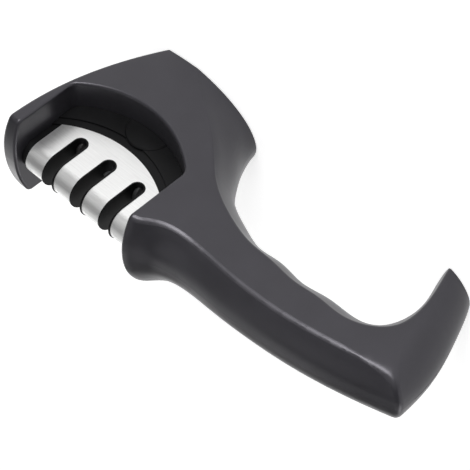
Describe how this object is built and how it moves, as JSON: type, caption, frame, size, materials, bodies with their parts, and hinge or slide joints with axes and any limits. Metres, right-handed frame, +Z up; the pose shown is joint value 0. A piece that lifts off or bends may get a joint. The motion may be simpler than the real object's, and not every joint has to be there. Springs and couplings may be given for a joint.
{
  "type": "pull through knife sharpener",
  "caption": "Hand-held pull through knife sharpener: hooded head with steel-covered V slots, arched handle and a hook that curls down to a foot.",
  "frame": {"origin": "on the table under the middle of the object's box", "axes": "+X from the hook towards the hood, +Y to the left side, +Z up from the table"},
  "size_m": [0.2042, 0.0472, 0.0779],
  "materials": {
    "body": "fine satin grain, charcoal black",
    "cartridge": "satin, black",
    "base_plate": "plain moulded, black",
    "pad": "matt, fine pattern",
    "cover": "brushed along the body",
    "screws": "zinc plated",
    "axle": "ground",
    "bush": "natural plain bearing plastic",
    "diamond": "diamond grit on a steel wheel",
    "ceramic": "fine black ceramic",
    "carbide": "ground tungsten carbide"
  },
  "bodies": {
    "root": {"right_body_shell": "body", "left_body_shell": "body", "base_plate": "base_plate", "base_plate_screws": "screws", "base_pad": "pad", "cartridge_right_half": "cartridge", "cartridge_left_half": "cartridge", "cartridge_screws": "screws", "steel_cover": "cover", "coarse_wheel_axle": "axle", "coarse_wheel_washers": "axle", "fine_wheel_axle": "axle", "fine_wheel_washers": "axle", "carbide_blade_right": "carbide", "carbide_blade_left": "carbide", "carbide_pin": "axle"},
    "coarse_wheels": {"coarse_wheel_front": "diamond", "coarse_wheel_rear": "diamond", "coarse_wheel_bush": "bush"},
    "fine_wheels": {"fine_wheel_front": "ceramic", "fine_wheel_rear": "ceramic", "fine_wheel_bush": "bush"}
  },
  "joints": [
    {"name": "coarse_wheels_spin", "type": "hinge", "parent": "root", "child": "coarse_wheels", "pos_m": [0.077, 0, 0.0486], "axis": [1, 0, 0], "continuous": true},
    {"name": "fine_wheels_spin", "type": "hinge", "parent": "root", "child": "fine_wheels", "pos_m": [0.043, 0, 0.0486], "axis": [1, 0, 0], "continuous": true}
  ]
}
